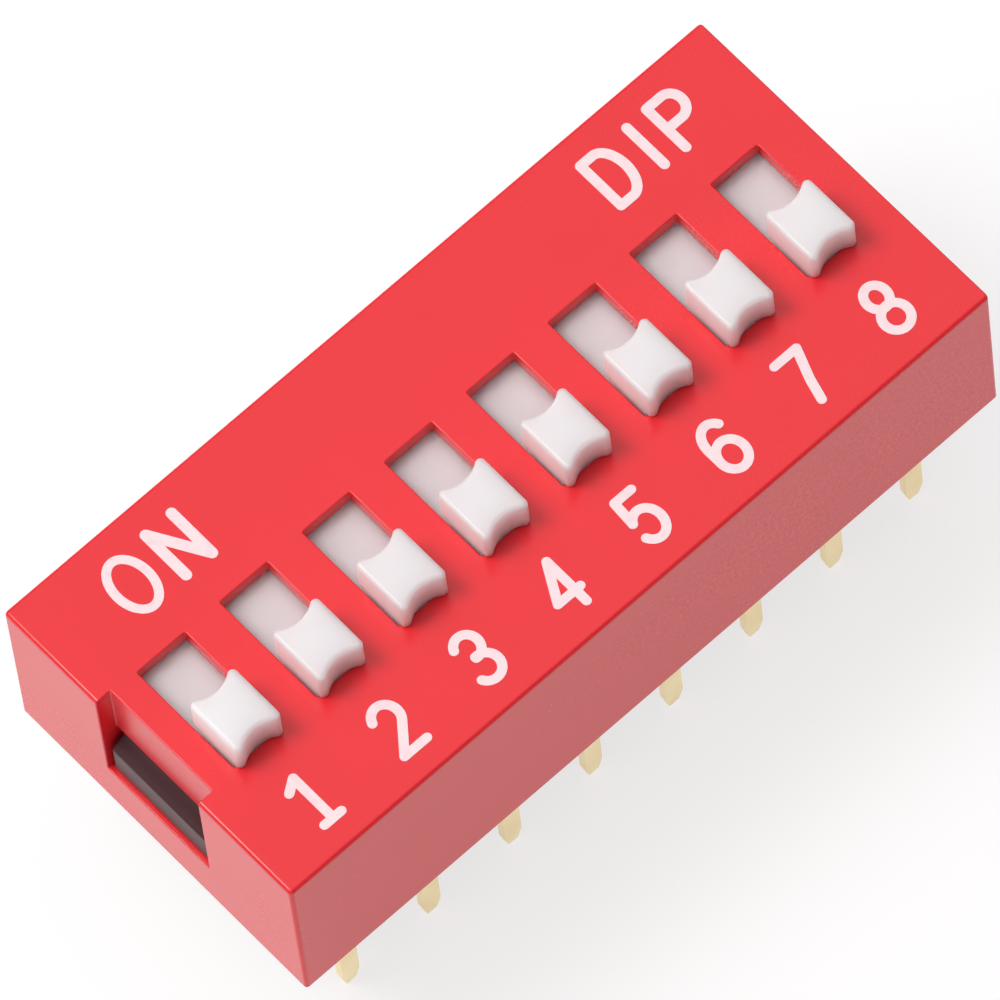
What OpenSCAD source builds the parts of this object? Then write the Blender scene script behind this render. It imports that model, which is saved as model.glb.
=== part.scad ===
// Raised-slide DIP switch for through-hole boards: a row of on/off slide switches in one housing.
// Frame: the origin is the centre of the seating plane (the cover's bottom rim), +X runs from
// position 1 to the last position, +Y points to the ON side and +Z points up from the board.
// All lengths are millimetres. Every slider is drawn at its OFF end.

/* [Grid] */
// Distance between neighbouring positions, which is the board's hole grid
pitch = 2.54; // [2.5:0.01:2.6]
// Number of switch positions
positions = 8; // [2:1:10]
// Distance between the front and rear rows of pins
row_spacing = 7.62; // [7.4:0.01:7.8]

/* [Cover] */
// Length of the cover beyond positions x pitch
end_allowance = 1.32; // [1.2:0.01:1.6]
// Front-to-back width of the cover
cover_w = 9.8; // [9.6:0.05:10.2]
// Height of the cover's top face above the seating plane
cover_h = 5.3; // [5.1:0.05:5.8]
// Thickness of the four side walls
side_wall = 0.8; // [0.7:0.05:0.85]
// Thickness of the top wall
top_wall = 0.45; // [0.4:0.05:0.6]
// Radius of the cover's outer edges
edge_r = 0.15; // [0.05:0.05:0.3]
// Width of the guide ribs between the sliders, under the top wall
rib_w = 0.26; // [0.2:0.02:0.3]

/* [Slots] */
// Width of a slot in the top wall
slot_w = 1.46; // [1.4:0.02:1.6]
// Length of a slot along the travel
slot_len = 3.3; // [3.2:0.02:3.5]
// Offset of the slots' centre from the cover's centre line
slot_y = 0; // [-0.1:0.02:0.1]

/* [End windows] */
// Width of the latch opening in each end wall
window_w = 3.48; // [3:0.02:3.8]
// Depth of the recess in the end face at position 1
window_depth = 0.45; // [0.3:0.05:0.5]
// Height of the ledge that the base's latch hooks over
ledge_z = 1.7; // [1.6:0.05:1.9]
// Height of the through opening's upper edge
lintel_z = 3.35; // [3.1:0.05:3.6]
// How far the latch stays back from the end face
latch_setback = 0.12; // [0.08:0.02:0.4]

/* [Sliders] */
// Length of the finger grip along the travel, above the cover
grip_len = 1.66; // [1.56:0.02:1.7]
// How far the grip reaches past its neck at each end, over the rim of the slot
overhang = 0.21; // [0.15:0.01:0.25]
// Height of the grip above the cover
grip_h = 1.05; // [0.9:0.05:1.3]
// Depth of the hollow in the grip's two ends
hollow_depth = 0.17; // [0.1:0.01:0.2]
// Width of that hollow
hollow_w = 1; // [0.8:0.05:1.1]
// Thickness of the plate that closes the slot from below
plate_t = 0.5; // [0.4:0.05:0.55]

/* [Contacts] */
// Thickness of the bridging spring's strip
spring_t = 0.12; // [0.1:0.01:0.15]
// Width of the bridging spring
spring_w = 0.9; // [0.8:0.02:0.94]

/* [Terminals] */
// Thickness of the terminal strip
strip_t = 0.25; // [0.2:0.01:0.28]
// Width of the terminal's inner pad
pad_w = 1.2; // [1:0.05:1.4]
// Width of a pin
pin_w = 0.52; // [0.44:0.02:0.64]
// Length of a pin below the seating plane
pin_len = 4.2; // [3:0.1:4.5]
// Width of a pin at its very tip
pin_tip_w = 0.32; // [0.24:0.02:0.4]

/* [Hidden] */
$fn = 48;
eps = 0.01;

// Running clearances
slide_gap = 0.04;
fit_gap = 0.03;

// Cover
cover_len = positions * pitch + end_allowance;
cavity_len = cover_len - 2 * side_wall;
cavity_w = cover_w - 2 * side_wall;
cavity_top = cover_h - top_wall;

// Slider heights and travel
plate_top = cavity_top - slide_gap;
plate_z = plate_top - plate_t;
plate_w = pitch - rib_w - 2 * slide_gap;
grip_w = slot_w - 2 * slide_gap;
grip_top = cover_h + grip_h;
grip_z = cover_h + slide_gap;
grip_edge_r = 0.12;
neck_len = grip_len - 2 * overhang;
travel = slot_len - neck_len - 2 * slide_gap;
off_y = slot_y - travel / 2;
plate_lap = 0.2;
plate_len = slot_len + travel + 2 * plate_lap;

// Base
base_gap = 0.04;
base_z = 0.7;
floor_z = 1.5;
base_top = plate_z - base_gap;
cell_w = 1.56;
cell_len = 6.4;
latch_w = window_w - 0.24;
latch_face_top = 2.78;

// Sealing compound under the base
seal_z = 0.2;

// Carriage under the plate, which holds the bridging spring
carriage_w = cell_w - 0.2;
carriage_len = 1.7;
saddle_z = 2.9;
cheek_z = 2.25;
cheek_gap = 0.03;
boss_r = 0.17;
boss_h = 0.22;

// Bridging spring: a flat saddle, two sprung legs and two upturned feet
saddle_half = 0.4;
shoulder_r = 0.12;
foot_r = 0.2;
leg_angle = 68;
toe_angle = 62;
toe_len = 0.12;
foot_lift = 0.02;
finger_gap = 0.16;
leg_drop = saddle_z - spring_t - floor_z - foot_lift;
leg_len = (leg_drop - (shoulder_r + foot_r) * (1 - cos(leg_angle))) / sin(leg_angle);
foot_y = saddle_half + (shoulder_r + foot_r) * sin(leg_angle) + leg_len * cos(leg_angle);

// Terminals: the front pad always carries one foot, the rear pad is reached only at ON
bend_r = 0.1;
shoulder_z = 0.95;
pin_taper = 0.5;
row_y = row_spacing / 2;
pad_gap = 0.55;
front_pad_end = off_y + foot_y + foot_r;
rear_pad_end = front_pad_end + pad_gap;

function x_of(i) = (i - (positions + 1) / 2) * pitch;

numbers = [for (i = [1 : positions]) i];

// A rectangle with round corners, centred on the origin
module rounded_plan(l, w, r) {
    square([l - 2 * r, w], center = true);
    square([l, w - 2 * r], center = true);
    for (x = [-1, 1], y = [-1, 1])
        translate([x * (l / 2 - r), y * (w / 2 - r)]) circle(r);
}

// A rectangle standing on the first axis, with its two top corners round
module crowned_profile(w, h, r) {
    translate([-w / 2, 0]) square([w, h - r]);
    translate([r - w / 2, 0]) square([w - 2 * r, h]);
    for (x = [-1, 1]) translate([x * (w / 2 - r), h - r]) circle(r);
}

// Extrudes a profile drawn in X-Z along the whole of Y
module along_y(len) {
    rotate([90, 0, 0]) translate([0, 0, -len / 2]) linear_extrude(len) children();
}

// Extrudes a profile drawn in Y-Z along the whole of X
module along_x(len) {
    rotate([90, 0, 90]) translate([0, 0, -len / 2]) linear_extrude(len) children();
}

// A block centred in X and Y between two heights
module block(l, w, z0, z1) {
    translate([-l / 2, -w / 2, z0]) cube([l, w, z1 - z0]);
}

module cover_block() {
    intersection() {
        linear_extrude(cover_h) rounded_plan(cover_len, cover_w, edge_r);
        along_y(cover_w + 2) crowned_profile(cover_len, cover_h, edge_r);
        along_x(cover_len + 2) crowned_profile(cover_w, cover_h, edge_r);
    }
}

// Latch opening in one end wall; at position 1 it lies in a recess that is open at the top
module end_window(side) {
    outer = cover_len / 2 + 1;
    recess_x = cover_len / 2 - window_depth;
    inner = cavity_len / 2 - eps;
    along_y(window_w) scale([side, 1]) {
        translate([inner, ledge_z]) square([outer - inner, lintel_z - ledge_z]);
        if (side < 0)
            translate([recess_x, ledge_z]) square([outer - recess_x, cover_h + 1 - ledge_z]);
    }
}

module cover() {
    color([0.86, 0.13, 0.16]) {
        difference() {
            cover_block();
            block(cavity_len, cavity_w, -1, cavity_top);
            for (i = numbers)
                translate([x_of(i), slot_y, 0]) block(slot_w, slot_len, cavity_top - 1, cover_h + 1);
            for (side = [-1, 1]) end_window(side);
        }
        for (i = [1 : positions - 1])
            translate([x_of(i) + pitch / 2, 0, 0]) block(rib_w, cavity_w, plate_z, cavity_top);
    }
}

// Snap latch: flat underneath, sloped on top so that the base can be pushed in from below
module latch(side) {
    root = cavity_len / 2 - fit_gap;
    nose = cover_len / 2 - latch_setback;
    low = ledge_z + slide_gap;
    high = lintel_z - 0.1;
    along_y(latch_w)
        polygon([for (p = [[root - eps, low], [nose, low], [nose, latch_face_top], [root, high], [root - eps, high]])
            [side * p[0], p[1]]]);
}

module base() {
    color([0.13, 0.12, 0.13])
    difference() {
        union() {
            block(cavity_len - 2 * fit_gap, cavity_w - 2 * fit_gap, base_z, base_top);
            for (side = [-1, 1]) latch(side);
        }
        for (i = numbers) {
            translate([x_of(i), 0, 0]) block(cell_w, cell_len, floor_z, base_top + 1);
            terminal_pair(i);
        }
    }
}

module seal() {
    color([0.2, 0.17, 0.16])
    difference() {
        block(cavity_len, cavity_w, seal_z, base_z);
        for (i = numbers) terminal_pair(i);
    }
}

// Plan of the grip: a rounded rectangle with a hollow across each end
module grip_plan() {
    hollow_r = hollow_w * hollow_w / (8 * hollow_depth) + hollow_depth / 2;
    difference() {
        rounded_plan(grip_w, grip_len, grip_edge_r);
        for (y = [-1, 1])
            translate([0, y * (grip_len / 2 + hollow_r - hollow_depth)]) circle(hollow_r);
    }
}

module actuator(i) {
    color([0.95, 0.94, 0.95])
    translate([x_of(i), off_y, 0]) {
        intersection() {
            translate([0, 0, grip_z]) linear_extrude(grip_top - grip_z) grip_plan();
            along_y(grip_len + 1) crowned_profile(grip_w, grip_top, grip_edge_r / 2);
        }
        block(grip_w, neck_len, plate_z, grip_z + eps);
        block(plate_w, plate_len, plate_z, plate_top);
        block(carriage_w, carriage_len, saddle_z, plate_z);
        for (x = [-1, 1]) {
            inner = spring_w / 2 + cheek_gap;
            thick = carriage_w / 2 - inner;
            translate([x * (inner + thick / 2), 0, 0]) block(thick, carriage_len, cheek_z, saddle_z);
        }
        translate([0, 0, saddle_z - boss_h]) cylinder(h = boss_h, r = boss_r);
    }
}

// Points on an arc of a strip's centre line, from heading a0 to heading a1, turning about centre c
function arc_points(c, r, a0, a1, steps = 8) =
    [for (k = [0 : steps]) let (a = a0 + (a1 - a0) * k / steps) c + r * [cos(a), sin(a)]];

// Centre line of the spring's right half, from the middle of the saddle to the tip of the foot
function half_spring() =
    let (
        z0 = saddle_z - spring_t / 2,
        shoulder = [saddle_half, z0 - shoulder_r],
        foot = [foot_y, floor_z + foot_lift + spring_t / 2 + foot_r],
        toe = foot + foot_r * [sin(toe_angle), -cos(toe_angle)]
    )
    concat(
        arc_points(shoulder, shoulder_r, 90, 90 - leg_angle),
        arc_points(foot, foot_r, 270 - leg_angle, 270 + toe_angle),
        [toe + toe_len * [cos(toe_angle), sin(toe_angle)]]
    );

function mirrored(points) = [for (k = [len(points) - 1 : -1 : 0]) [-points[k][0], points[k][1]]];

// Unit normal of a polyline at point k
function normal(points, k) =
    let (d = points[min(k + 1, len(points) - 1)] - points[max(k - 1, 0)]) [-d[1], d[0]] / norm(d);

// Outline of a strip of thickness t that follows a centre line
function strip_outline(points, t) = concat(
    [for (k = [0 : len(points) - 1]) points[k] + normal(points, k) * t / 2],
    [for (k = [len(points) - 1 : -1 : 0]) points[k] - normal(points, k) * t / 2]
);

module contact(i) {
    line = concat(mirrored(half_spring()), half_spring());
    reach = foot_y + 1;
    color([0.88, 0.76, 0.42])
    translate([x_of(i), off_y, 0])
    difference() {
        along_x(spring_w) polygon(strip_outline(line, spring_t));
        translate([0, 0, saddle_z - 1]) cylinder(h = 2, r = boss_r + cheek_gap);
        for (y = [-1, 1])
            translate([-finger_gap / 2, y * (saddle_half + reach / 2 + shoulder_r) - reach / 2, 0])
                cube([finger_gap, reach, saddle_z]);
    }
}

// Side profile of a terminal's pad and bend, drawn in Y-Z for the row at -Y
module pad_profile(pad_end) {
    pin_y = -row_y - strip_t / 2;
    bend = [pin_y + strip_t + bend_r, floor_z - strip_t - bend_r];
    translate([bend[0], floor_z - strip_t]) square([pad_end - bend[0], strip_t]);
    translate([pin_y, shoulder_z]) square([strip_t, bend[1] - shoulder_z]);
    intersection() {
        translate(bend) difference() {
            circle(bend_r + strip_t);
            circle(bend_r);
        }
        translate([pin_y, bend[1]]) square(bend_r + strip_t);
    }
}

// Front view of a pin, drawn in X-Z, with a tapered tip
module pin_front() {
    a = pin_w / 2;
    b = pin_tip_w / 2;
    taper_z = pin_taper - pin_len;
    polygon([[-a, shoulder_z], [-a, taper_z], [-b, -pin_len], [b, -pin_len], [a, taper_z], [a, shoulder_z]]);
}

// One stamped terminal; side is -1 for the front row and 1 for the rear row
module terminal(i, side) {
    pad_end = side < 0 ? front_pad_end : -rear_pad_end;
    color([0.87, 0.78, 0.5])
    translate([x_of(i), 0, 0])
    mirror([0, side > 0 ? 1 : 0, 0]) {
        along_x(pad_w) pad_profile(pad_end);
        translate([0, -row_y, 0]) along_y(strip_t) pin_front();
    }
}

module terminal_pair(i) {
    for (side = [-1, 1]) terminal(i, side);
}

cover();
base();
seal();
for (i = numbers) {
    actuator(i);
    contact(i);
    terminal(i, -1);
    terminal(i, 1);
}
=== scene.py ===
"""A raised-slide DIP switch: the finished look of each piece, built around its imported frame.

Lengths are metres in the frame of the part: the origin is the centre of the seating plane, +X runs
from position 1 to position 8, +Y points to the ON side and +Z up from the board.
"""

import logging
import math
from collections.abc import Callable, Iterable, Sequence
from dataclasses import dataclass, field
from enum import Enum
from typing import Any

import bmesh
import bpy
from mathutils import Matrix, Vector


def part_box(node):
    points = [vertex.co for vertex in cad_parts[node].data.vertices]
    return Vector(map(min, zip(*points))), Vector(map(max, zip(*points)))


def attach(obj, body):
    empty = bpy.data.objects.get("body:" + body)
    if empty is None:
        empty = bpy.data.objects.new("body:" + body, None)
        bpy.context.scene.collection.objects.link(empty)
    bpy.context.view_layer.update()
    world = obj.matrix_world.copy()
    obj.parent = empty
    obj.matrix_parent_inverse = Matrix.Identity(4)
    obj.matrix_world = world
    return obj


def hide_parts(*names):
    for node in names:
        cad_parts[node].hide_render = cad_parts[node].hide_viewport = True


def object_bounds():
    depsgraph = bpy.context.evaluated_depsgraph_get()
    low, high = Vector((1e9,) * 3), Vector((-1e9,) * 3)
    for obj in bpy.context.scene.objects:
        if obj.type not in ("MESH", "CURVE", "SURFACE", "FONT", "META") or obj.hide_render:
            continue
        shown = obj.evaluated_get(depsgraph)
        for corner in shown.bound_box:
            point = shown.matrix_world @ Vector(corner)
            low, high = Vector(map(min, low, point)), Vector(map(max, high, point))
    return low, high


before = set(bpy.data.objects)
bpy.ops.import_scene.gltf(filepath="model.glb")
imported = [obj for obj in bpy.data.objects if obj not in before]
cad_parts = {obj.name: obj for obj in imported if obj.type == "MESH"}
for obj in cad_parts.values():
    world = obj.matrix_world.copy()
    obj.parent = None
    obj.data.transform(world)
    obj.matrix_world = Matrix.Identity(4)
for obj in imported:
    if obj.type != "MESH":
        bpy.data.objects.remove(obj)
CAD_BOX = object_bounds()

log = logging.getLogger("dip_switch")

MM = 0.001
SAME = 1e-6  # lengths that differ by less are taken as equal
WELD = 1e-7  # points nearer than this become one
HOUSING = "housing"
POSITIONS = sum(name.startswith("actuator_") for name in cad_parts)
Point = tuple[float, float, float]
Flat = tuple[float, float]


def node_names(stem: str) -> list[str]:
    """The CAD nodes of one repeated piece, in order of position.

    Args:
        stem: The name without its number, such as "actuator".

    Returns:
        The names "stem_1" to "stem_8".
    """
    return [f"{stem}_{number}" for number in range(1, POSITIONS + 1)]


def middle(node: str) -> Vector:
    """The centre of a CAD node's box."""
    low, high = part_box(node)
    return (low + high) / 2


# ---------------------------------------------------------------------------------------------
# Shader building
# ---------------------------------------------------------------------------------------------


class Value:
    """A shader socket that can be used in a Python expression.

    Each operator adds one Math node, so `1 - mask * 0.5` reads as it is worked out.
    """

    def __init__(self, shader: "Shader", socket: bpy.types.NodeSocket) -> None:
        """Wraps an output socket of a shader."""
        self.shader = shader
        self.socket = socket

    def _math(self, operation: str, first: Any, second: Any, clamp: bool = False) -> "Value":
        """Adds a Math node.

        Args:
            operation: The Math node's operation.
            first: A Value or a number.
            second: A Value or a number.
            clamp: Whether the result is kept between 0 and 1.

        Returns:
            The node's result.
        """
        settings = {"operation": operation, "use_clamp": clamp}
        return self.shader.node("ShaderNodeMath", settings, {0: first, 1: second}).out("Value")

    def __add__(self, other: Any) -> "Value":
        """This value plus another."""
        return self._math("ADD", self, other)

    def __radd__(self, other: Any) -> "Value":
        """A number plus this value."""
        return self._math("ADD", other, self)

    def __sub__(self, other: Any) -> "Value":
        """This value less another."""
        return self._math("SUBTRACT", self, other)

    def __rsub__(self, other: Any) -> "Value":
        """A number less this value."""
        return self._math("SUBTRACT", other, self)

    def __mul__(self, other: Any) -> "Value":
        """This value times another."""
        return self._math("MULTIPLY", self, other)

    def __rmul__(self, other: Any) -> "Value":
        """A number times this value."""
        return self._math("MULTIPLY", other, self)

    def __truediv__(self, other: Any) -> "Value":
        """This value divided by another."""
        return self._math("DIVIDE", self, other)

    def clamped(self) -> "Value":
        """This value kept between 0 and 1."""
        return self._math("ADD", self, 0.0, clamp=True)


@dataclass
class Made:
    """A node that was just added, with a short way to reach its outputs."""

    shader: "Shader"
    node: bpy.types.Node

    def out(self, name: str) -> Value:
        """One of the node's outputs, by its name."""
        return Value(self.shader, self.node.outputs[name])


class Shader:
    """A procedural material whose nodes are added one call at a time."""

    def __init__(self, name: str) -> None:
        """Starts an empty material with a Principled surface.

        Args:
            name: The material's name.
        """
        self.material = bpy.data.materials.new(name)
        self.material.use_nodes = True
        self.tree = self.material.node_tree
        self.tree.nodes.clear()
        self.surface = self.node("ShaderNodeBsdfPrincipled").node
        output = self.node("ShaderNodeOutputMaterial").node
        self.tree.links.new(self.surface.outputs["BSDF"], output.inputs["Surface"])
        self.place = self.node("ShaderNodeTexCoord").out("Object")

    def node(
        self,
        kind: str,
        settings: dict[str, Any] | None = None,
        inputs: dict[str | int, Any] | None = None,
    ) -> Made:
        """Adds one node.

        Args:
            kind: The node's type name.
            settings: Its properties, which are set first.
            inputs: Its sockets by name or number, each a Value to link or a value to set.

        Returns:
            The node that was added.
        """
        made = self.tree.nodes.new(kind)
        for name, value in (settings or {}).items():
            setattr(made, name, value)
        for name, value in (inputs or {}).items():
            self.feed(made.inputs[name], value)
        return Made(self, made)

    def feed(self, socket: bpy.types.NodeSocket, value: Any) -> None:
        """Links a Value into a socket, or sets the socket to a plain value."""
        if isinstance(value, Value):
            self.tree.links.new(value.socket, socket)
        else:
            socket.default_value = value

    def set(self, **sockets: Any) -> None:
        """Sets or links the surface's own sockets; an underscore stands for a space."""
        for name, value in sockets.items():
            self.feed(self.surface.inputs[name.replace("_", " ")], value)

    def noise(self, size: float, detail: float, stretch: Point = (1.0, 1.0, 1.0)) -> Value:
        """A cloudy pattern between 0 and 1.

        Args:
            size: The size of its features, in metres.
            detail: How many finer layers it has.
            stretch: How much its scale is multiplied along X, Y and Z.

        Returns:
            The pattern's value.
        """
        placed = self.node("ShaderNodeMapping", None, {"Vector": self.place, "Scale": stretch})
        inputs = {"Vector": placed.out("Vector"), "Scale": 1.0 / size, "Detail": detail}
        return self.node("ShaderNodeTexNoise", None, inputs).out("Fac")

    def blend(self, share: Value, first: Sequence[float], second: Sequence[float]) -> Value:
        """A colour between two, by a share from 0 to 1."""
        settings = {"data_type": "RGBA"}
        made = self.node("ShaderNodeMix", settings, {"Factor": share})
        for socket, colour in zip((made.node.inputs[6], made.node.inputs[7]), (first, second)):
            self.feed(socket, colour if isinstance(colour, Value) else (*colour, 1.0))
        return Value(self, made.node.outputs[2])

    def relief(self, height: Value, depth: float) -> Value:
        """A normal from a height pattern.

        Args:
            height: The pattern, from 0 to 1.
            depth: The height of its full range, in metres.

        Returns:
            The normal to feed to the surface.
        """
        inputs = {"Height": height, "Distance": depth, "Strength": 1.0}
        return self.node("ShaderNodeBump", None, inputs).out("Normal")


@dataclass(frozen=True)
class MouldedPlastic:
    """An injection-moulded plastic, with a fine mould grain and slightly uneven gloss."""

    name: str
    colour: Point
    shade: Point
    roughness: float
    grain_size: float = 0.00009
    grain_depth: float = 0.0000003
    cloud_size: float = 0.0022
    gloss_spread: float = 0.10
    specular: float = 0.5
    sheen: float = 0.0
    softness: float = 0.0
    soft_radius: Point = (0.0013, 0.0011, 0.00105)

    def base(self, shader: Shader, tint: Value) -> Value:
        """The plastic's own colour, by how much of its shade it has."""
        return shader.blend(tint, self.colour, self.shade)

    def material(self) -> bpy.types.Material:
        """Builds the plastic's material."""
        shader = Shader(self.name)
        cloud = shader.noise(self.cloud_size, 3.0)
        grain = shader.noise(self.grain_size, 1.0)
        flow = shader.noise(self.cloud_size * 2, 1.0, (0.25, 1.0, 1.0))
        tint = ((cloud - 0.35) * 1.6).clamped() * 0.6 + grain * 0.25
        rough = self.roughness + (flow - 0.5) * self.gloss_spread + (grain - 0.5) * 0.06
        shader.set(
            Base_Color=self.base(shader, tint),
            Roughness=rough,
            Normal=shader.relief(grain + cloud * 0.6, self.grain_depth),
            Specular_IOR_Level=self.specular,
            Sheen_Weight=self.sheen,
            Sheen_Roughness=0.4,
            Subsurface_Weight=self.softness,
            Subsurface_Radius=self.soft_radius,
            Subsurface_Scale=1.0,
        )
        return shader.material


@dataclass(frozen=True)
class SliderPlastic(MouldedPlastic):
    """A moulded plastic with painted shade low down: below a height its colour turns dull pink, for the
    shade and the red light reflected inside the slots.
    """

    # Painted shade: the dull pink mixed in low down, for the shade and the red light reflected by the
    # slot walls.
    film: Point = (0.62, 0.50, 0.515)
    film_top: float = 5.05 * MM
    film_fade: float = 0.15 * MM
    film_share: float = 0.6

    def base(self, shader: Shader, tint: Value) -> Value:
        """The plastic's own colour, with painted slot shade mixed in below a height."""
        height = shader.node("ShaderNodeSeparateXYZ", None, {"Vector": shader.place}).out("Z")
        # Painted shade mask: none above the top, rising to its full share one fade below it.
        low = ((self.film_top - height) / self.film_fade).clamped() * self.film_share
        return shader.blend(low, super().base(shader, tint), self.film)


@dataclass(frozen=True)
class PlatedStrip:
    """Stamped metal strip with a thin plating: fine rolling lines along it and faint handling marks."""

    name: str
    colour: Point
    tarnish: Point
    roughness: float
    line_size: float = 0.00004
    patch_size: float = 0.0011
    line_depth: float = 0.0000015

    def material(self) -> bpy.types.Material:
        """Builds the plating's material."""
        shader = Shader(self.name)
        lines = shader.noise(self.line_size, 2.0, (1.0, 1.0, 0.04))
        patches = shader.noise(self.patch_size, 4.0)
        stain = ((patches - 0.42) * 2.4).clamped()
        shader.set(
            Base_Color=shader.blend(stain * 0.7, self.colour, self.tarnish),
            Roughness=self.roughness + lines * 0.12 + stain * 0.10,
            Normal=shader.relief(lines + patches * 0.5, self.line_depth),
            Metallic=1.0,
        )
        return shader.material


@dataclass(frozen=True)
class CastResin:
    """Dark sealing resin that was poured and set: glossy, gently uneven, with a few tiny bubbles."""

    name: str
    colour: Point
    shade: Point
    roughness: float
    swell_size: float = 0.0016
    swell_depth: float = 0.00004
    cells_per_metre: float = 1500.0
    cells_per_bubble: float = 6.0

    def material(self) -> bpy.types.Material:
        """Builds the resin's material."""
        shader = Shader(self.name)
        swell = shader.noise(self.swell_size, 2.0)
        inputs = {"Vector": shader.place, "Scale": self.cells_per_metre}
        cells = shader.node("ShaderNodeTexVoronoi", {"feature": "F1"}, inputs)
        bubble = (1 - cells.out("Distance") * self.cells_per_bubble).clamped()
        shader.set(
            Base_Color=shader.blend((swell - 0.3).clamped(), self.colour, self.shade),
            Roughness=self.roughness + swell * 0.12 + bubble * 0.15,
            Normal=shader.relief(swell - bubble * 0.15, self.swell_depth),
            Coat_Weight=swell * 0.4,
        )
        return shader.material


@dataclass(frozen=True)
class PrintedInk:
    """Opaque pad-printed ink: matt, a little thin in places."""

    name: str
    colour: Point
    thin: Point
    roughness: float
    cover_size: float = 0.00025
    speck_size: float = 0.00006
    speck_depth: float = 0.000002

    def material(self) -> bpy.types.Material:
        """Builds the ink's material."""
        shader = Shader(self.name)
        cover = shader.noise(self.cover_size, 3.0)
        speck = shader.noise(self.speck_size, 1.0)
        share = ((cover - 0.5) * 2.2).clamped() * 0.8
        shader.set(
            Base_Color=shader.blend(share, self.colour, self.thin),
            Roughness=self.roughness + speck * 0.15,
            Normal=shader.relief(speck, self.speck_depth),
            Specular_IOR_Level=0.35,
        )
        return shader.material


@dataclass(frozen=True)
class PaintedBoard:
    """The pale floor under the part, lit from inside so that it stays near white."""

    name: str
    colour: Point
    shade: Point
    glow: float = 0.73

    def material(self) -> bpy.types.Material:
        """Builds the floor's material."""
        shader = Shader(self.name)
        cloud = shader.noise(0.05, 2.0)
        shader.set(
            Base_Color=shader.blend(cloud, self.colour, self.shade),
            Roughness=0.75 + cloud * 0.1,
            Specular_IOR_Level=0.2,
            Emission_Color=(1.0, 1.0, 1.0, 1.0),
            Emission_Strength=self.glow,
        )
        return shader.material


class Finish(Enum):
    """Every finish on the switch and its floor, built once each."""

    COVER_RED = MouldedPlastic("moulded_red", (0.835, 0.019, 0.029), (0.79, 0.016, 0.025), 0.26)
    # The white sliders carry painted slot shade below the slots' rim.
    SLIDER_WHITE = SliderPlastic(
        "moulded_white", (0.83, 0.815, 0.83), (0.80, 0.78, 0.80), 0.38, sheen=0.5, softness=1.0
    )
    # A dark plastic; its reddish tint is painted red reflection of the cover and ledge, not the
    # plastic's own colour.
    BASE_BLACK = MouldedPlastic(
        "moulded_black", (0.062, 0.026, 0.029), (0.076, 0.032, 0.035), 0.36, specular=0.15
    )
    TERMINAL = PlatedStrip("terminal_plating", (1.0, 0.87, 0.57), (0.95, 0.79, 0.49), 0.48)
    CONTACT = PlatedStrip("contact_plating", (0.92, 0.70, 0.30), (0.80, 0.58, 0.24), 0.18)
    RESIN = CastResin("poured_resin", (0.030, 0.024, 0.022), (0.060, 0.046, 0.040), 0.22)
    INK = PrintedInk("legend_ink", (0.93, 0.74, 0.77), (0.92, 0.56, 0.61), 0.55)
    FLOOR = PaintedBoard("floor_white", (0.28, 0.28, 0.28), (0.26, 0.26, 0.265))

    def material(self) -> bpy.types.Material:
        """The finish's material, made the first time it is asked for."""
        return bpy.data.materials.get(self.value.name) or self.value.material()


# ---------------------------------------------------------------------------------------------
# Modelling by hand
# ---------------------------------------------------------------------------------------------


def only(piece: bpy.types.Object) -> bpy.types.Object:
    """Deselects everything, then selects one piece and makes it the active one."""
    bpy.ops.object.select_all(action="DESELECT")
    piece.select_set(True)
    bpy.context.view_layer.objects.active = piece
    return piece


def settle(name: str) -> bpy.types.Object:
    """Names the active piece and moves its place, turn and scale into its mesh."""
    piece = bpy.context.view_layer.objects.active
    only(piece)
    bpy.ops.object.transform_apply(location=True, rotation=True, scale=True)
    piece.name = piece.data.name = name
    return piece


def slab(name: str, low: Sequence[float], high: Sequence[float]) -> bpy.types.Object:
    """A cube primitive stretched between two corners.

    Args:
        name: The piece's name.
        low: The lowest corner.
        high: The highest corner.

    Returns:
        The new piece.
    """
    bpy.ops.object.select_all(action="DESELECT")
    centre = (Vector(low) + Vector(high)) / 2
    bpy.ops.mesh.primitive_cube_add(size=1, location=centre, scale=Vector(high) - Vector(low))
    return settle(name)


def rod(name: str, centre: Point, radius: float, height: float, sides: int) -> bpy.types.Object:
    """An upright cylinder primitive, centred on a point."""
    bpy.ops.object.select_all(action="DESELECT")
    bpy.ops.mesh.primitive_cylinder_add(vertices=sides, radius=radius, depth=height, location=centre)
    return settle(name)


def cone(name: str, centre: Point, low: float, high: float, height: float) -> bpy.types.Object:
    """An upright cone frustum with a radius at its lower and one at its upper end."""
    bpy.ops.object.select_all(action="DESELECT")
    bpy.ops.mesh.primitive_cone_add(
        vertices=40, radius1=low, radius2=high, depth=height, location=centre
    )
    return settle(name)


def stamp(name: str, loops: Sequence[Sequence[Flat]], bottom: float, top: float) -> bpy.types.Object:
    """Fills closed outlines and extrudes them upwards.

    Args:
        name: The piece's name.
        loops: Each outline's points in the X-Y plane; one inside another is a hole.
        bottom: The height of the lower face.
        top: The height of the upper face.

    Returns:
        The new piece.
    """
    points, edges = [], []
    for loop in loops:
        first, count = len(points), len(loop)
        points.extend((x, y, bottom) for x, y in loop)
        edges.extend((first + k, first + (k + 1) % count) for k in range(count))
    mesh = bpy.data.meshes.new(name)
    mesh.from_pydata(points, edges, [])
    piece = bpy.data.objects.new(name, mesh)
    bpy.context.scene.collection.objects.link(piece)
    only(piece)
    bpy.ops.object.mode_set(mode="EDIT")
    bpy.ops.mesh.select_all(action="SELECT")
    bpy.ops.mesh.fill(use_beauty=True)
    bpy.ops.mesh.extrude_region_move(TRANSFORM_OT_translate={"value": (0, 0, top - bottom)})
    bpy.ops.object.mode_set(mode="OBJECT")
    clean(piece)
    return piece


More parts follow.
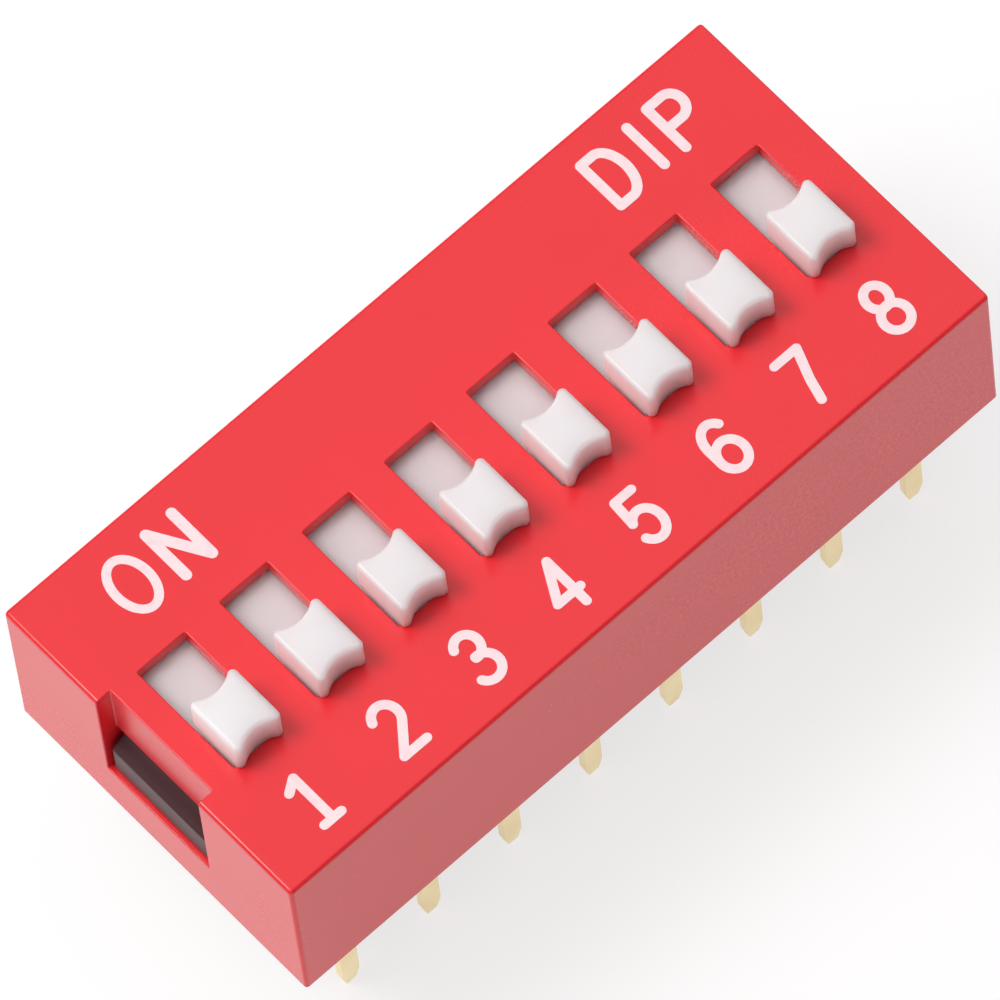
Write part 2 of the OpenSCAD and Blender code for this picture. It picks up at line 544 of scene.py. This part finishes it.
def join(name: str, pieces: Sequence[bpy.types.Object]) -> bpy.types.Object:
    """Joins separate bodies into one mesh."""
    only(pieces[0])
    for piece in pieces:
        piece.select_set(True)
    if len(pieces) > 1:
        bpy.ops.object.join()
    pieces[0].name = pieces[0].data.name = name
    return pieces[0]


def combine(piece: bpy.types.Object, tool: bpy.types.Object, operation: str) -> None:
    """Applies a Boolean modifier and throws the tool away.

    Args:
        piece: The piece that is changed.
        tool: The body that cuts it or is added to it.
        operation: "DIFFERENCE", "UNION" or "INTERSECT".
    """
    only(piece)
    bpy.ops.object.modifier_add(type="BOOLEAN")
    modifier = piece.modifiers[-1]
    modifier.operation = operation
    modifier.solver = "EXACT"
    modifier.object = tool
    bpy.ops.object.modifier_apply(modifier=modifier.name)
    bpy.data.objects.remove(tool)


def cut(piece: bpy.types.Object, tools: Sequence[bpy.types.Object]) -> None:
    """Cuts several separate bodies out of a piece at once."""
    combine(piece, join("tool", tools), "DIFFERENCE")


def add(piece: bpy.types.Object, tools: Sequence[bpy.types.Object]) -> None:
    """Adds bodies to a piece, one after another, into one closed skin."""
    for tool in tools:
        combine(piece, tool, "UNION")


def clean(piece: bpy.types.Object) -> None:
    """Merges doubled points and takes out the edges that lie in flat faces."""
    only(piece)
    bpy.ops.object.mode_set(mode="EDIT")
    bpy.ops.mesh.select_all(action="SELECT")
    bpy.ops.mesh.remove_doubles(threshold=WELD)
    bpy.ops.mesh.dissolve_limited(angle_limit=math.radians(0.5))
    bpy.ops.mesh.normals_make_consistent(inside=False)
    bpy.ops.object.mode_set(mode="OBJECT")


def edit_faces(piece: bpy.types.Object, facing: Point) -> None:
    """Opens a piece in edit mode with only the faces that look one way selected."""
    only(piece)
    bpy.ops.object.mode_set(mode="EDIT")
    bpy.ops.mesh.select_mode(type="FACE")
    bpy.ops.mesh.select_all(action="DESELECT")
    mesh = bmesh.from_edit_mesh(piece.data)
    for face in mesh.faces:
        face.select_set(face.normal.dot(Vector(facing)) > 0.9)
    bmesh.update_edit_mesh(piece.data)


EdgeTest = Callable[[bmesh.types.BMEdge], bool]


def is_crease(edge: bmesh.types.BMEdge, degrees: float = 40.0) -> bool:
    """Whether an edge's two faces meet at more than an angle."""
    return len(edge.link_faces) == 2 and edge.calc_face_angle(0.0) > math.radians(degrees)


def soften(
    piece: bpy.types.Object,
    radius: float,
    segments: int = 2,
    weights: Iterable[tuple[EdgeTest, float]] = (),
) -> None:
    """Rounds a piece's creases with a Bevel modifier, and smooths its shading.

    Args:
        piece: The piece to round.
        radius: The width of a full bevel, in metres.
        segments: How many faces make up a rounding.
        weights: Tests of an edge, each with the share of the width that it gets. The first that
            holds counts, and a crease that none holds for stays sharp. With none, all creases get
            the full width.
    """
    tests = list(weights) or [(is_crease, 1.0)]
    only(piece)
    bpy.ops.object.mode_set(mode="EDIT")
    mesh = bmesh.from_edit_mesh(piece.data)
    layer = mesh.edges.layers.float.get("bevel_weight_edge")
    layer = layer or mesh.edges.layers.float.new("bevel_weight_edge")
    for edge in mesh.edges:
        if is_crease(edge):
            edge[layer] = next((share for test, share in tests if test(edge)), 0.0)
    bmesh.update_edit_mesh(piece.data)
    bpy.ops.object.mode_set(mode="OBJECT")
    bpy.ops.object.modifier_add(type="BEVEL")
    bevel = piece.modifiers[-1]
    bevel.limit_method = "WEIGHT"
    bevel.width = radius
    bevel.segments = segments
    bevel.use_clamp_overlap = False
    bevel.miter_outer = "MITER_ARC" if segments > 1 else "MITER_SHARP"
    bpy.ops.object.modifier_apply(modifier=bevel.name)
    smooth(piece)


def smooth(piece: bpy.types.Object, degrees: float = 35.0) -> None:
    """Shades a piece smooth up to an angle, keeping its flat faces flat."""
    only(piece)
    bpy.ops.object.shade_smooth_by_angle(angle=math.radians(degrees))
    bpy.ops.object.modifier_add(type="WEIGHTED_NORMAL")
    weighted = piece.modifiers[-1]
    weighted.keep_sharp = True
    weighted.weight = 100
    bpy.ops.object.modifier_apply(modifier=weighted.name)


def copy_to(piece: bpy.types.Object, name: str, step: Vector) -> bpy.types.Object:
    """Copies a piece with its own mesh, moved by a step that goes into the mesh."""
    twin = piece.copy()
    twin.data = piece.data.copy()
    twin.data.transform(Matrix.Translation(step))
    twin.name = twin.data.name = name
    bpy.context.scene.collection.objects.link(twin)
    return twin


def dress(piece: bpy.types.Object, finish: Finish) -> None:
    """Gives a piece one finish all over."""
    piece.data.materials.clear()
    piece.data.materials.append(finish.material())


def hand_over(
    piece: bpy.types.Object, body: str, finish: Finish, stands_for: Sequence[str] = ()
) -> None:
    """Finishes a piece and fastens it to its body.

    Args:
        piece: The finished mesh.
        body: The moving body that it rides on.
        finish: Its finish.
        stands_for: The CAD nodes that it is shown in place of.
    """
    dress(piece, finish)
    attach(piece, body)
    if stands_for:
        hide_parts(*stands_for)
    log.info("%s: %d faces, rides on %s", piece.name, len(piece.data.polygons), body)


# ---------------------------------------------------------------------------------------------
# Sub-assemblies
# ---------------------------------------------------------------------------------------------


@dataclass
class CoverShell:
    """The red housing: an open-bottomed box with slots, guide ribs and a latch opening in each end."""

    wall: float = 0.80 * MM
    top_wall: float = 0.45 * MM
    edge: float = 0.11 * MM
    small_edge_share: float = 0.32
    slot: Flat = (1.46 * MM, 3.30 * MM)
    rib_width: float = 0.26 * MM
    rib_drop: float = 0.54 * MM
    rib_root: float = 0.1 * MM
    window_width: float = 3.48 * MM
    window_depth: float = 0.45 * MM
    ledge: float = 1.70 * MM
    lintel: float = 3.35 * MM
    over: float = 1.0 * MM
    low: Vector = field(default_factory=lambda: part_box("cover")[0])
    high: Vector = field(default_factory=lambda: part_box("cover")[1])

    def slot_tools(self) -> list[bpy.types.Object]:
        """Bodies that cut the slots through the top."""
        half = self.slot[0] / 2
        rear = self.slot[1] / 2
        tools = []
        for name in node_names("actuator"):
            x = middle(name).x
            low = (x - half, -rear, self.high.z - self.over)
            tools.append(slab("slot_tool", low, (x + half, rear, self.high.z + self.over)))
        return tools

    def window_tools(self) -> list[bpy.types.Object]:
        """Bodies that cut the latch opening in each end, and the open recess at position 1."""
        half = self.window_width / 2
        face = self.high.x
        through = face - self.wall - self.over
        cuts = (
            (-1, face - self.window_depth, self.high.z + self.over),
            (-1, through, self.lintel),
            (1, through, self.lintel),
        )
        tools = []
        for side, inner, top in cuts:
            xs = sorted((side * inner, side * (face + self.over)))
            tools.append(slab("window_tool", (xs[0], -half, self.ledge), (xs[1], half, top)))
        return tools

    def ribs(self) -> list[bpy.types.Object]:
        """The guide ribs between neighbouring sliders, sunk a little into the walls that hold them."""
        top = self.high.z - self.top_wall
        reach = self.high.y - self.wall + self.rib_root
        middles = [middle(name).x for name in node_names("actuator")]
        ribs = []
        for left, right in zip(middles, middles[1:]):
            x = (left + right) / 2
            low = (x - self.rib_width / 2, -reach, top - self.rib_drop)
            ribs.append(slab("rib", low, (x + self.rib_width / 2, reach, top + self.rib_root)))
        return ribs

    def is_outer(self, edge: bmesh.types.BMEdge) -> bool:
        """Whether an edge is one of the box's upright corners or the rim of its top."""
        ends = [vertex.co for vertex in edge.verts]

        def on(axis: int, limit: float) -> bool:
            """Whether both ends lie on one face of the box."""
            gaps = [abs(abs(end[axis]) - abs(limit)) for end in ends]
            return max(gaps) < SAME and all(end[axis] * limit > 0 for end in ends)

        sides = any(on(0, x) for x in (self.low.x, self.high.x))
        walls = any(on(1, y) for y in (self.low.y, self.high.y))
        top = on(2, self.high.z)
        return sides + walls + top >= 2

    def build(self) -> bpy.types.Object:
        """Models the shell.

        Returns:
            The finished mesh, without its finish.
        """
        shell = slab("cover_shell", self.low, self.high)
        cavity_low = self.low + Vector((self.wall, self.wall, -self.over))
        cavity_high = self.high - Vector((self.wall, self.wall, self.top_wall))
        cut(shell, [slab("cavity_tool", cavity_low, cavity_high)])
        cut(shell, self.slot_tools())
        for tool in self.window_tools():
            cut(shell, [tool])
        add(shell, self.ribs())
        clean(shell)
        weights = [(self.is_outer, 1.0), (is_crease, self.small_edge_share)]
        soften(shell, self.edge, 4, weights)
        return shell

    def finish(self) -> None:
        """Builds the shell and puts it in place of the CAD cover."""
        hand_over(self.build(), HOUSING, Finish.COVER_RED, ["cover"])


class Row(Enum):
    """The two rows of pins; the value is the side of the centre line that a row is on."""

    FRONT = -1
    REAR = 1


@dataclass
class Slider:
    """A white slider: grip on a neck, slot-closing plate and the carriage that holds the contact."""

    grip: Flat = (1.38 * MM, 1.66 * MM)
    neck: Flat = (1.34 * MM, 1.24 * MM)
    clearance: float = 0.04 * MM
    hollow_depth: float = 0.18 * MM
    horn_radius: float = 0.13 * MM
    rim: float = 0.10 * MM
    foot_share: float = 0.25
    plate_thickness: float = 0.50 * MM
    plate_top: float = 4.81 * MM
    carriage: Flat = (1.36 * MM, 1.70 * MM)
    saddle: float = 2.90 * MM
    cheek: float = 0.20 * MM
    boss_radius: float = 0.17 * MM
    boss_height: float = 0.22 * MM
    small_edge: float = 0.03 * MM
    low: Vector = field(default_factory=lambda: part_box("actuator_1")[0])
    high: Vector = field(default_factory=lambda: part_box("actuator_1")[1])

    def block(self, name: str, size: Flat, bottom: float, top: float) -> bpy.types.Object:
        """A slab centred over the slider, between two heights."""
        centre = (self.low + self.high) / 2
        half = Vector((size[0] / 2, size[1] / 2, 0.0))
        low, high = centre - half, centre + half
        low.z, high.z = bottom, top
        return slab(name, low, high)

    def is_rim(self, edge: bmesh.types.BMEdge) -> bool:
        """Whether an edge runs round the grip's top."""
        return all(abs(vertex.co.z - self.high.z) < SAME for vertex in edge.verts)

    def quarter(self) -> list[Flat]:
        """The grip's outline from the middle of a side to the middle of the hollow behind it."""
        half_width, half_length = self.grip[0] / 2, self.grip[1] / 2
        horn = self.horn_radius
        span = half_width - horn
        radius = (span**2 / self.hollow_depth + self.hollow_depth) / 2 - horn
        hollow_y = half_length - self.hollow_depth + radius
        tip = (span, half_length - horn)
        turn = math.degrees(math.atan2(hollow_y - tip[1], -span))
        outer = bow(tip, (horn, horn), 0, turn, 10)
        inner = bow((0.0, hollow_y), (radius, radius), turn - 180, -90, 10)
        return [*outer, *inner[1:]]

    @property
    def grip_foot(self) -> float:
        """The height of the grip's underside, just clear of the cover."""
        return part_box("cover")[1].z + self.clearance

    def grip_body(self) -> bpy.types.Object:
        """The finger grip: hollow at both ends, with rounded horns and a rounded rim."""
        centre = (self.low + self.high) / 2
        corner = self.quarter()
        half = [*corner, *((-x, y) for x, y in corner[-2::-1])]
        outline = [*half, *((-x, -y) for x, y in half)]
        placed = [(centre.x + x, centre.y + y) for x, y in outline]
        grip = stamp("grip", [placed], self.grip_foot, self.high.z)
        soften(grip, self.rim, 4, [(self.is_rim, 1.0), (is_crease, self.foot_share)])
        return grip

    def build(self) -> bpy.types.Object:
        """Models one slider at position 1."""
        slider = self.block(
            "slider", (self.high.x - self.low.x, self.high.y - self.low.y),
            self.plate_top - self.plate_thickness, self.plate_top,
        )
        underside = self.plate_top - self.plate_thickness / 2
        carriage = self.block("carriage", self.carriage, self.low.z, underside)
        gap = self.carriage[0] - 2 * self.cheek
        cut(carriage, [self.block("gap_tool", (gap, 3 * MM), 0.0, self.saddle)])
        add(slider, [carriage])
        clean(slider)
        soften(slider, self.small_edge, 2)
        centre = (self.low + self.high) / 2
        height = self.boss_height + self.small_edge
        boss = (centre.x, centre.y, self.saddle - self.boss_height + height / 2)
        neck = self.block("neck", self.neck, underside, self.grip_foot + self.rim)
        add(slider, [rod("boss", boss, self.boss_radius, height, 32), neck, self.grip_body()])
        smooth(slider)
        return slider

    def finish(self) -> None:
        """Builds the slider and copies it to every position."""
        model = self.build()
        start = middle("actuator_1")
        for number, node in enumerate(node_names("actuator"), start=1):
            step = middle(node) - start
            twin = copy_to(model, f"slider_{number}_cap", step)
            hand_over(twin, f"slider_{number}", Finish.SLIDER_WHITE, [node])
        bpy.data.objects.remove(model)


@dataclass
class TerminalRow:
    """One row of stamped terminals: an inner pad, a bend and a flat pin with a tapered tip."""

    row: Row
    thickness: float = 0.25 * MM
    pin_width: float = 0.52 * MM
    tip_width: float = 0.30 * MM
    tip_thickness: float = 0.14 * MM
    taper: float = 0.50 * MM
    bend: float = 0.10 * MM
    shoulder: float = 0.95 * MM
    slope: float = 0.04 * MM
    edge: float = 0.028 * MM

    @property
    def stem(self) -> str:
        """The CAD nodes' name without its number."""
        return f"terminal_{self.row.name.lower()}"

    def sweep(self, terminal: bpy.types.Object, down: float, scale: Point = (1.0, 1.0, 1.0)) -> None:
        """Extrudes the selected end downwards, then scales it about its own middle."""
        bpy.ops.mesh.extrude_region_move(TRANSFORM_OT_translate={"value": (0, 0, -down)})
        corners = [vertex.co for vertex in bmesh.from_edit_mesh(terminal.data).verts if vertex.select]
        centre = sum(corners, Vector()) / len(corners)
        bpy.ops.transform.resize(value=scale, center_override=centre)

    def build(self) -> bpy.types.Object:
        """Models one terminal at position 1."""
        low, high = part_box(f"{self.stem}_1")
        side = self.row.value
        outer, pad_end = (low.y, high.y) if side < 0 else (high.y, low.y)
        bend_y = outer - side * (self.thickness + self.bend)
        ends = sorted((bend_y, pad_end))
        bottom = high.z - self.thickness
        terminal = slab("terminal", (low.x, ends[0], bottom), (high.x, ends[1], high.z))
        edit_faces(terminal, (0, side, 0))
        pivot = ((low.x + high.x) / 2, bend_y, bottom - self.bend)
        turn = math.radians(90) * side
        bpy.ops.mesh.spin(steps=8, angle=turn, center=pivot, axis=(1, 0, 0))
        self.sweep(terminal, pivot[2] - self.shoulder)
        self.sweep(terminal, self.slope, (self.pin_width / (high.x - low.x), 1, 1))
        self.sweep(terminal, self.shoulder - self.slope - low.z - self.taper)
        tip = (self.tip_width / self.pin_width, self.tip_thickness / self.thickness, 1)
        self.sweep(terminal, self.taper, tip)
        bpy.ops.object.mode_set(mode="OBJECT")
        clean(terminal)
        soften(terminal, self.edge, 2)
        return terminal

    def finish(self) -> list[bpy.types.Object]:
        """Builds the row.

        Returns:
            The row's terminals.
        """
        model = self.build()
        start = middle(f"{self.stem}_1")
        row = []
        for node in node_names(self.stem):
            twin = copy_to(model, node.replace("terminal", "pin"), middle(node) - start)
            hand_over(twin, HOUSING, Finish.TERMINAL, [node])
            row.append(twin)
        bpy.data.objects.remove(model)
        return row


def moulds_of(terminals: Sequence[bpy.types.Object]) -> list[bpy.types.Object]:
    """Copies of the terminals, to cut the spaces that they fill."""
    return [copy_to(terminal, "mould", Vector((0, 0, 0))) for terminal in terminals]


@dataclass
class BaseTray:
    """The black tray with a cell for each position and a snap latch at each end."""

    terminals: Sequence[bpy.types.Object]
    cell: Flat = (1.56 * MM, 6.40 * MM)
    floor: float = 1.47 * MM
    wall_gap: float = 0.83 * MM
    latch_width: float = 3.24 * MM
    latch_low: float = 1.74 * MM
    latch_face: float = 2.78 * MM
    latch_high: float = 3.25 * MM
    latch_sunk: float = 0.2 * MM
    latch_spare: float = 0.4 * MM
    edge: float = 0.05 * MM
    nose_radius: float = 0.06 * MM

    def latch(self, side: int) -> bpy.types.Object:
        """A snap latch: flat underneath, upright in front, sloped on top."""
        cover_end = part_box("cover")[1].x
        root, nose = cover_end - self.wall_gap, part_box("base")[1].x
        half = self.latch_width / 2
        top = self.latch_high + self.latch_spare
        xs = sorted((side * (root - self.latch_sunk), side * nose))
        latch = slab("latch", (xs[0], -half, self.latch_low), (xs[1], half, top))
        only(latch)
        bpy.ops.object.mode_set(mode="EDIT")
        bpy.ops.mesh.select_all(action="SELECT")
        slope = Vector((side * (self.latch_high - self.latch_face), 0, nose - root))
        bpy.ops.mesh.bisect(
            plane_co=(side * nose, 0, self.latch_face),
            plane_no=slope,
            use_fill=True,
            clear_outer=True,
            threshold=WELD,
        )
        bpy.ops.object.mode_set(mode="OBJECT")
        soften(latch, self.nose_radius, 4)
        return latch

    def build(self) -> bpy.types.Object:
        """Models the tray."""
        low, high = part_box("base")
        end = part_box("cover")[1].x - self.wall_gap
        tray = slab("base_tray", (-end, low.y, low.z), (end, high.y, high.z))
        half = Vector((self.cell[0] / 2, self.cell[1] / 2, 0))
        cells = []
        for name in node_names("actuator"):
            centre = Vector((middle(name).x, 0, 0))
            bottom = centre - half + Vector((0, 0, self.floor))
            cells.append(slab("cell_tool", bottom, centre + half + Vector((0, 0, high.z + MM))))
        cut(tray, cells)
        clean(tray)
        soften(tray, self.edge, 2)
        add(tray, [self.latch(-1), self.latch(1)])
        cut(tray, moulds_of(self.terminals))
        smooth(tray)
        return tray

    def finish(self) -> None:
        """Builds the tray and puts it in place of the CAD base."""
        hand_over(self.build(), HOUSING, Finish.BASE_BLACK, ["base"])


@dataclass
class SealCompound:
    """Resin poured round the pins from below: it climbs a little where it wets walls and pins."""

    terminals: Sequence[bpy.types.Object]
    wall_climb: float = 0.12 * MM
    wall_reach: float = 0.35 * MM
    collar_climb: float = 0.12 * MM
    collar_reach: float = 0.30 * MM
    collar_root: float = 0.38 * MM
    collar_squeeze: float = 0.6

    def build(self) -> bpy.types.Object:
        """Models the resin."""
        low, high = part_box("seal")
        resin = slab("sealing_resin", low, high)
        edit_faces(resin, (0, 0, -1))
        steps = 4
        for step in range(steps):
            drop = self.wall_climb * ((1 - step / steps) ** 2 - (1 - (step + 1) / steps) ** 2)
            bpy.ops.mesh.inset(thickness=self.wall_reach / steps, depth=-drop)
        bpy.ops.object.mode_set(mode="OBJECT")
        add(resin, [join("collars", [self.collar(pin, low.z) for pin in self.terminals])])
        cut(resin, moulds_of(self.terminals))
        clean(resin)
        smooth(resin, 50.0)
        return resin

    def collar(self, pin: bpy.types.Object, bottom: float) -> bpy.types.Object:
        """A low oval cone round a pin, where the resin has crept down it."""
        xs = [vertex.co.x for vertex in pin.data.vertices]
        ys = [vertex.co.y for vertex in pin.data.vertices if vertex.co.z < bottom]
        half = ((max(xs) + min(xs)) / 2, (max(ys) + min(ys)) / 2)
        height = 2 * self.collar_climb
        place = (half[0], half[1], bottom + height / 2)
        collar = cone("collar", place, self.collar_root, self.collar_root + self.collar_reach, height)
        squeeze = Matrix.Scale(self.collar_squeeze, 4, (0, 1, 0))
        about = Matrix.Translation((0, half[1], 0))
        collar.data.transform(about @ squeeze @ about.inverted())
        return collar

    def finish(self) -> None:
        """Builds the resin and puts it in place of the CAD seal."""
        hand_over(self.build(), HOUSING, Finish.RESIN, ["seal"])


# ---------------------------------------------------------------------------------------------
# The printed legend
# ---------------------------------------------------------------------------------------------


def bow(centre: Flat, reach: Flat, start: float, end: float, steps: int = 28) -> list[Flat]:
    """Points on part of an ellipse.

    Args:
        centre: Its centre.
        reach: Its half widths along X and Y.
        start: The angle of the first point, in degrees.
        end: The angle of the last point, in degrees.
        steps: How many steps lie between them.

    Returns:
        The points in order.
    """
    angles = [math.radians(start + (end - start) * step / steps) for step in range(steps + 1)]
    return [(centre[0] + reach[0] * math.cos(a), centre[1] + reach[1] * math.sin(a)) for a in angles]


@dataclass(frozen=True)
class Stroke:
    """One pen stroke. Its points are in glyph units: X from -0.5 to 0.5 and Y from 0 to 1."""

    points: Sequence[Flat]
    closed: bool = False


def ring(centre: Flat, reach: Flat) -> Stroke:
    """A closed elliptical stroke."""
    return Stroke(bow(centre, reach, 0, 360, 56)[:-1], closed=True)


GLYPHS: dict[str, list[Stroke]] = {
    "1": [Stroke([(-0.42, 0.83), (0.02, 1.0), (0.02, 0.0)]), Stroke([(-0.34, 0.0), (0.36, 0.0)])],
    "2": [Stroke([*bow((0, 0.72), (0.45, 0.28), 160, -38), (-0.45, 0.0), (0.48, 0.0)])],
    "3": [
        Stroke(bow((-0.02, 0.75), (0.42, 0.25), 155, -95)),
        Stroke(bow((-0.02, 0.265), (0.47, 0.265), 95, -152)),
    ],
    "4": [Stroke([(0.27, 0.0), (0.27, 1.0)]), Stroke([(0.27, 1.0), (-0.46, 0.28), (0.48, 0.28)])],
    "5": [
        Stroke([(0.38, 1.0), (-0.32, 1.0), (-0.38, 0.50)]),
        Stroke(bow((0.0, 0.32), (0.47, 0.32), 145, -150)),
    ],
    "6": [
        ring((0.02, 0.30), (0.47, 0.30)),
        Stroke([*bow((0.04, 0.62), (0.49, 0.38), 42, 180), (-0.45, 0.30)]),
    ],
    "7": [Stroke([(-0.46, 1.0), (0.46, 1.0), (0.05, 0.42), (-0.16, 0.0)])],
    "8": [ring((0, 0.755), (0.38, 0.245)), ring((0, 0.265), (0.46, 0.265))],
    "O": [ring((0, 0.5), (0.5, 0.5))],
    "N": [Stroke([(-0.5, 0.0), (-0.5, 1.0), (0.5, 0.0), (0.5, 1.0)])],
    "D": [Stroke([(-0.5, 0.0), *bow((-0.02, 0.5), (0.52, 0.5), -90, 90), (-0.5, 1.0)], closed=True)],
    "I": [Stroke([(0.0, 0.0), (0.0, 1.0)])],
    "P": [
        Stroke([(-0.5, 0.0), (-0.5, 1.0)]),
        Stroke([(-0.5, 1.0), *bow((0.1, 0.735), (0.4, 0.265), 90, -90), (-0.5, 0.47)]),
    ],
}


@dataclass(frozen=True)
class Letter:
    """One printed letter or number: which glyph, where its foot's middle is, and how large."""

    glyph: str
    foot: Flat
    size: Flat
    pen: float


@dataclass
class Legend:
    """White print on the cover: the position numbers and the ON and DIP markings."""

    thickness: float = 0.012 * MM
    sunk: float = 0.010 * MM
    round_steps: int = 9
    sharp: float = math.radians(25)

    def edge_of(self, line: Sequence[Vector], closed: bool, half: float) -> list[Vector]:
        """The left edge of a stroke: mitred inside each corner and round outside it.

        Args:
            line: The centre line.
            closed: Whether its ends join.
            half: Half the stroke's width.

        Returns:
            The edge's points.
        """
        made = []
        count = len(line)
        for k, here in enumerate(line):
            before = line[k - 1] if closed or k else None
            after = line[(k + 1) % count] if closed or k < count - 1 else None
            first = (here - before).normalized() if before is not None else None
            second = (after - here).normalized() if after is not None else None
            first, second = first or second, second or first
            turn = math.atan2(first.cross(second), first.dot(second))
            normals = [Vector((-way.y, way.x)) for way in (first, second)]
            if turn > -self.sharp:
                made.append(here + (normals[0] + normals[1]).normalized() * half / math.cos(turn / 2))
            else:
                made.extend(self.arc(here, normals[0] * half, turn))
        return made

    def arc(self, centre: Vector, start: Vector, turn: float) -> list[Vector]:
        """Points round a centre, from an offset through an angle."""
        steps = self.round_steps
        made = []
        for step in range(steps + 1):
            c, s = math.cos(turn * step / steps), math.sin(turn * step / steps)
            made.append(centre + Vector((start.x * c - start.y * s, start.x * s + start.y * c)))
        return made

    def loops(self, stroke: Stroke, letter: Letter) -> list[list[Vector]]:
        """The closed outlines of one stroke, in metres on the cover."""
        line = [
            Vector((letter.foot[0] + x * letter.size[0], letter.foot[1] + y * letter.size[1]))
            for x, y in stroke.points
        ]
        half = letter.pen / 2
        left = self.edge_of(line, stroke.closed, half)
        right = self.edge_of(line[::-1], stroke.closed, half)
        if stroke.closed:
            return [left, right]
        end = self.arc(line[-1], left[-1] - line[-1], -math.pi)[1:-1]
        start = self.arc(line[0], right[-1] - line[0], -math.pi)[1:-1]
        return [[*left, *end, *right, *start]]

    def letter_body(self, letter: Letter) -> bpy.types.Object:
        """One letter or number as a single thin slab."""
        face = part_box("cover")[1].z
        bodies = [
            stamp("ink", self.loops(stroke, letter), face - self.sunk, face + self.thickness)
            for stroke in GLYPHS[letter.glyph]
        ]
        add(bodies[0], bodies[1:])
        return bodies[0]

    def words(self) -> dict[str, list[Letter]]:
        """What is printed where, by the name of the piece."""
        digit = (0.74 * MM, 1.36 * MM)
        foot = -4.15 * MM
        words = {
            f"number_{k}": [Letter(str(k), (middle(node).x + 0.04 * MM, foot), digit, 0.235 * MM)]
            for k, node in enumerate(node_names("actuator"), start=1)
        }
        low, tall = 2.68 * MM, 1.40 * MM
        words["mark_on"] = [
            Letter("O", (-8.22 * MM, low - 0.06 * MM), (0.94 * MM, 1.48 * MM), 0.225 * MM),
            Letter("N", (-6.78 * MM, low), (0.80 * MM, tall), 0.27 * MM),
        ]
        words["mark_dip"] = [
            Letter("D", (6.70 * MM, low), (0.78 * MM, tall), 0.25 * MM),
            Letter("I", (7.74 * MM, low + 0.08 * MM), (0.1 * MM, tall - 0.1 * MM), 0.25 * MM),
            Letter("P", (8.78 * MM, low + 0.06 * MM), (0.78 * MM, tall - 0.04 * MM), 0.25 * MM),
        ]
        return words

    def finish(self) -> None:
        """Prints every mark on the cover."""
        for name, letters in self.words().items():
            mark = join(name, [self.letter_body(letter) for letter in letters])
            dress(mark, Finish.INK)
            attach(mark, HOUSING)
            log.info("%s: %d faces of ink on the cover", name, len(mark.data.polygons))


@dataclass
class Contacts:
    """The bridging springs, whose CAD shape is kept."""

    def finish(self) -> None:
        """Gives each spring its plating."""
        for node in node_names("contact"):
            dress(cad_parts[node], Finish.CONTACT)
            log.info("%s: kept, plated", node)


@dataclass(frozen=True)
class Lamp:
    """A square area light that points at the part."""

    name: str
    place: Point
    size: float
    power: float
    tint: Point

    def hang(self) -> None:
        """Adds the light to the scene."""
        data = bpy.data.lights.new(self.name, "AREA")
        data.size = self.size
        data.energy = self.power
        data.color = self.tint
        lamp = bpy.data.objects.new(self.name, data)
        lamp.location = self.place
        lamp.rotation_euler = (-Vector(self.place)).to_track_quat("-Z", "Y").to_euler()
        bpy.context.scene.collection.objects.link(lamp)


@dataclass
class Studio:
    """The pale floor, the soft lights and the camera."""

    camera_place: Point = (-107.684 * MM, -153.082 * MM, 396.896 * MM)
    camera_turn: Point = (25.1868, 3.4481, -42.3843)
    lens: float = 683.584
    floor_size: float = 3.0
    sky_strength: float = 0.03
    lamps: tuple[Lamp, ...] = (
        Lamp("overhead_light", (-0.13, 0.15, 0.66), 1.4, 6.7, (1.0, 1.0, 1.0)),
        Lamp("key_light", (-0.21, 0.17, 0.47), 0.22, 1.48, (1.0, 0.995, 0.985)),
        Lamp("front_fill", (0.12, -0.76, 0.34), 0.5, 0.15, (1.0, 0.84, 0.76)),
    )

    def floor(self) -> None:
        """A plane under the pins' tips."""
        bpy.ops.object.select_all(action="DESELECT")
        bpy.ops.mesh.primitive_plane_add(size=self.floor_size, location=(0, 0, CAD_BOX[0].z))
        floor = settle("floor")
        dress(floor, Finish.FLOOR)

    def lights(self) -> None:
        """Hangs the lamps and sets a dim, even sky."""
        for lamp in self.lamps:
            lamp.hang()
        world = bpy.data.worlds.new("even_sky")
        world.use_nodes = True
        background = world.node_tree.nodes["Background"]
        background.inputs["Color"].default_value = (1.0, 1.0, 1.0, 1.0)
        background.inputs["Strength"].default_value = self.sky_strength
        bpy.context.scene.world = world

    def camera(self) -> None:
        """A long lens above the front left corner."""
        data = bpy.data.cameras.new("camera")
        data.lens = self.lens
        data.sensor_width = 36.0
        data.clip_start = 0.01
        data.clip_end = 20.0
        camera = bpy.data.objects.new("camera", data)
        camera.location = self.camera_place
        camera.rotation_euler = [math.radians(turn) for turn in self.camera_turn]
        bpy.context.scene.collection.objects.link(camera)
        bpy.context.scene.camera = camera

    def finish(self) -> None:
        """Sets up the whole studio."""
        self.camera()
        self.floor()
        self.lights()
        view = bpy.context.scene.view_settings
        view.view_transform = "Standard"
        view.look = "None"


def main() -> None:
    """Builds every sub-assembly in order and reports each piece."""
    logging.basicConfig(level=logging.INFO, format="%(name)s: %(message)s")
    Studio().finish()
    CoverShell().finish()
    Slider().finish()
    pins = [pin for row in Row for pin in TerminalRow(row).finish()]
    BaseTray(pins).finish()
    SealCompound(pins).finish()
    Contacts().finish()
    Legend().finish()


if __name__ == "__main__":
    main()
